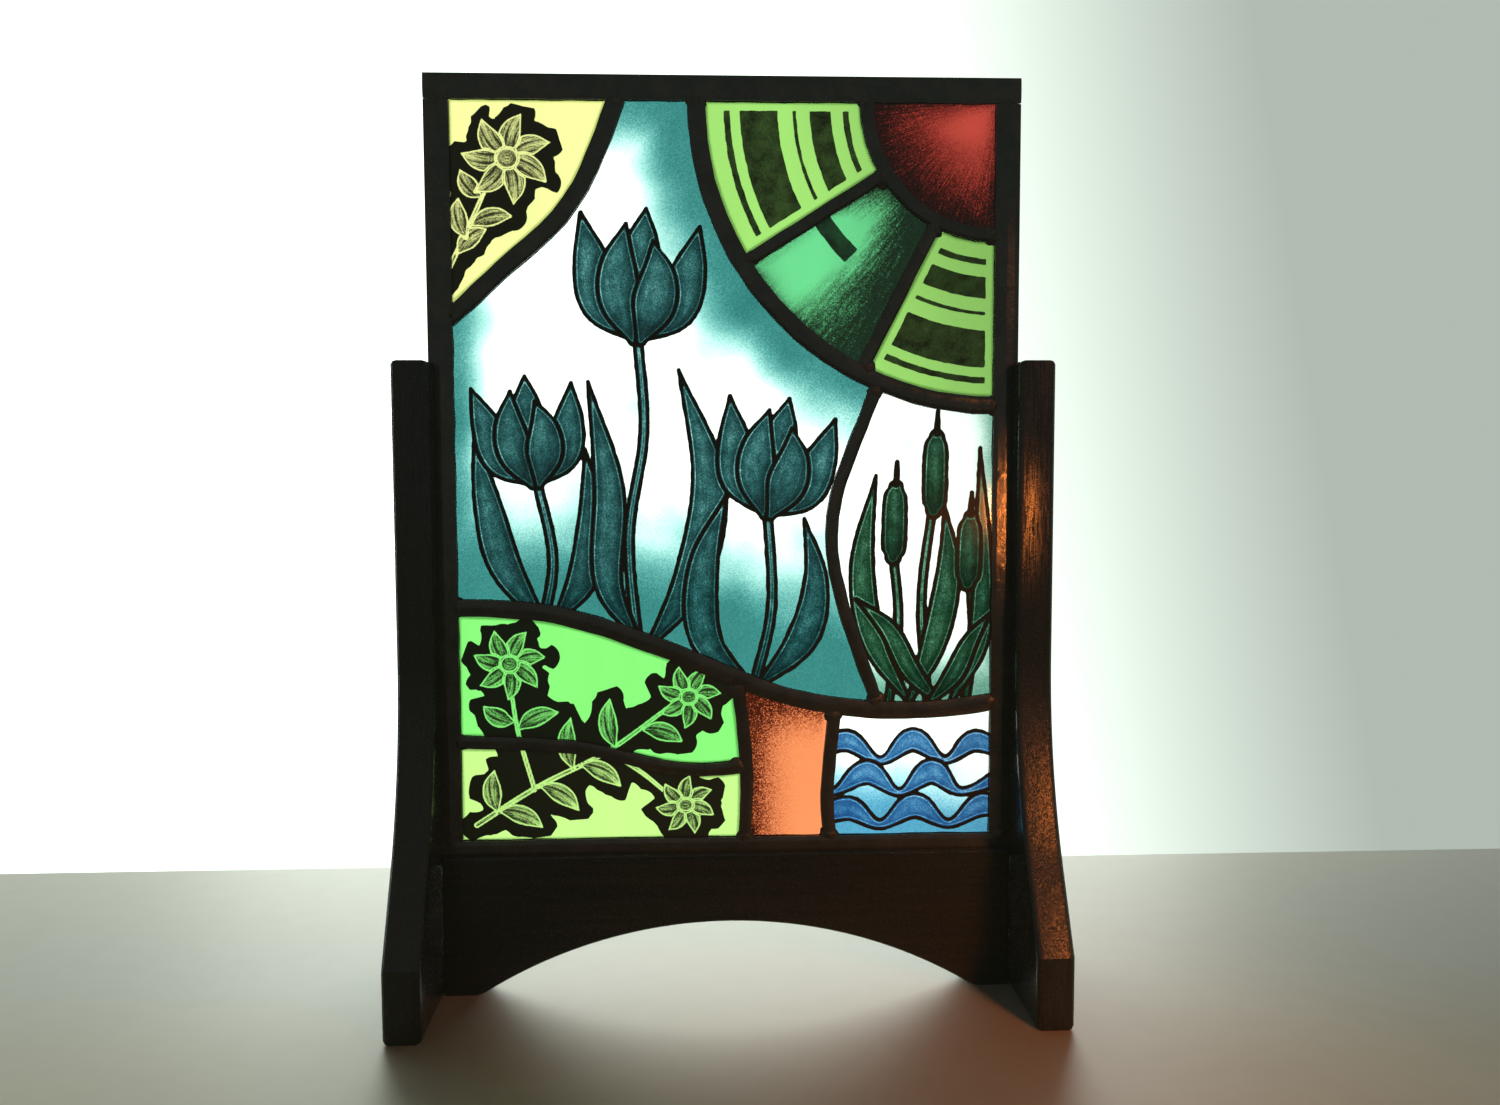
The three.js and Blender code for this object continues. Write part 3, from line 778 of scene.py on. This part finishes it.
def hill_flowers(painting):
    """The whole branch with its leaves and daisies, on the part of it that a pane holds."""
    for points in (
        ((-130, 88, 1.5), (-98, 108, 1.4), (-62, 126, 1.3), (-26, 152, 1.1)),
        ((-100, 106, 1.2), (-108, 136, 1.2), (-112, 164, 1.0)),
        ((-62, 126, 1.2), (-44, 114, 1.2), (-28, 100, 1.0)),
    ):
        painting.cut_out(*points)
    painting.stripe((-122, 92, 9), (-98, 108, 14), (-62, 128, 14), (-34, 146, 10))
    painting.stripe((-103, 112, 10), (-109, 142, 15), (-112, 172, 15))
    for x, z, degrees, length in (
        (-119, 95, 94, 22), (-118, 95, -22, 24), (-97, 108, -34, 24), (-80, 117, 92, 27), (-76, 119, -30, 24),
        (-58, 128, 96, 26), (-44, 137, -18, 22), (-108, 138, 22, 23), (-110, 142, 152, 18),
    ):
        leaflet(painting, x, z, degrees, length, 5.0)
    daisy(painting, -112, 172, 19, 7, 10)
    daisy(painting, -22, 97, 16, 7, 30)
    daisy(painting, -20, 154, 17, 7, 5)


for node, slot, name, bare in (
    ("pane_high_hill_green", "glass_bright_green", "high_hill_glass", seen(138, 250, 124)),
    ("pane_low_hill_yellow_green", "glass_yellow_green", "low_hill_glass", seen(202, 254, 143)),
):
    pane, hill = cut_pane(node)
    hill_flowers(hill)
    # Painted shade: the wash on these panes only darkens the glass in a thin rim along the leads, where they
    # shade it.
    hill.breathe(hill.rim, 1.1, 1.2)
    finish = painted_glass(name, bare, (0.4, 0.45, 0.4), clouded=0.3, scratched=True)
    fire(pane, hill, slot, node, finish)


# The sky corner: pale yellow glass with one star flower and its leaves scratched out of a black ground.
pane, sky = cut_pane("pane_sky_corner_yellow")
sky.cut_out((-142, 366, 1.4), (-130, 390, 1.3), (-118, 416, 1.1))
sky.stripe((-142, 368, 7), (-128, 394, 14), (-112, 420, 17))
sky.stripe((-142, 424, 9), (-122, 426, 12))
for x, z, degrees, length in (
    (-134, 380, 40, 19), (-127, 394, 12, 21), (-130, 388, 100, 20), (-122, 408, 128, 17),
):
    leaflet(sky, x, z, degrees, length, 4.8)
daisy(sky, -109, 427, 23, 7, 20)
# Painted shade: the wash on this pane only darkens the glass in a thin rim along the leads, where they shade it.
sky.breathe(sky.rim, 1.1, 1.2)
finish = painted_glass("sky_glass", seen(246, 255, 162), (0.5, 0.55, 0.4), clouded=0.3, scratched=True)
fire(pane, sky, "glass_pale_yellow", "pane_sky_corner_yellow", finish)


# The sun: a quarter round of red glass, matted black with a dry brush drawn out from its corner.
BRUSH_RADIUS = 60


def turn_brush(painting):
    """Lays the brush strokes out from the sun's centre. Returns each spot's distance and angle from there."""
    right, up = (painting.spots - SUN_CENTRE).T
    far, angle = np.hypot(right, up), np.arctan2(up, right) % math.tau
    painting.across, painting.along = angle * BRUSH_RADIUS, far
    return far, np.degrees(angle)


pane, sun = cut_pane("pane_sun_red")
far, _ = turn_brush(sun)
sun.wash = 0.75 * np.clip((far - 18) / 46, 0, 1) ** 1.3 + 0.4 * np.exp(-sun.rim / 5)
finish = painted_glass(
    "sun_glass", seen(235, 88, 72), (0.012, 0.004, 0.004), clouded=0.5, brushed=1.6, stippled=2.2
)
fire(pane, sun, "glass_red", "pane_sun_red", finish)


# The rays: two lime panes with black bands that ring the sun, and an emerald pane between them with half a
# band, matted with a dry brush.
RING_BANDS = ((78, 1.5), (91, 5.4), (104, 0.9), (122, 9.5), (138, 1.6))
BAND_MARGIN = 4.5


def band(painting, far, radius, half):
    """A bar of black paint that rings the sun and stops short of the leads."""
    over = np.maximum(np.abs(far - radius) - half, BAND_MARGIN - painting.rim)
    painting.bar = np.minimum(painting.bar, over)


for node, name in (("pane_ray_top_lime", "top_ray_glass"), ("pane_ray_side_lime", "side_ray_glass")):
    pane, ray = cut_pane(node)
    far, angle = turn_brush(ray)
    for radius, half in RING_BANDS:
        band(ray, far, radius + (angle - 225) * 0.03, half)
    # Painted shade: the wash on these panes only darkens the glass in a thin rim along the leads, where they
    # shade it.
    ray.breathe(ray.rim, 1.1, 1.2)
    finish = painted_glass(name, seen(160, 224, 112), (0.4, 0.45, 0.38), clouded=0.3)
    fire(pane, ray, "glass_lime", node, finish)

pane, ray = cut_pane("pane_ray_middle_emerald")
far, angle = turn_brush(ray)
ray.wash = 1.1 * np.clip((angle - 223) / 17, 0, 1) + 0.6 * np.clip((98 - far) / 34, 0, 1)
ray.wash += 0.3 * np.exp(-ray.rim / 3)
ray.bar = np.maximum(np.abs(far - 106) - 4.6, np.radians(angle - 226) * far)
finish = painted_glass(
    "middle_ray_glass", seen(105, 215, 142), (0.04, 0.035, 0.035), clouded=0.5, brushed=1.6, stippled=2.2
)
fire(pane, ray, "glass_emerald", "pane_ray_middle_emerald", finish)


# The block: orange glass between the hills and the water, matted dark from its left side and its head.
pane, block = cut_pane("pane_block_orange")
block.across, block.along = block.right, block.up
from_left = block.right - block.right.min() - 4
from_head = block.up.max() - block.up - 5
from_right = block.right.max() - block.right - 7 + np.abs(block.up - 108) * 0.06
dark = np.exp(-((np.maximum(from_left, 0) / 10) ** 1.3)) + np.exp(-((np.maximum(from_head, 0) / 14) ** 1.6))
block.wash = (0.8 * dark + 0.03) * np.clip(from_right / 2 + 0.5, 0, 1)
finish = painted_glass("block_glass", seen(253, 152, 96), (0.06, 0.02, 0.014), clouded=0.08, stippled=4.5)
fire(pane, block, "glass_orange", "pane_block_orange", finish)
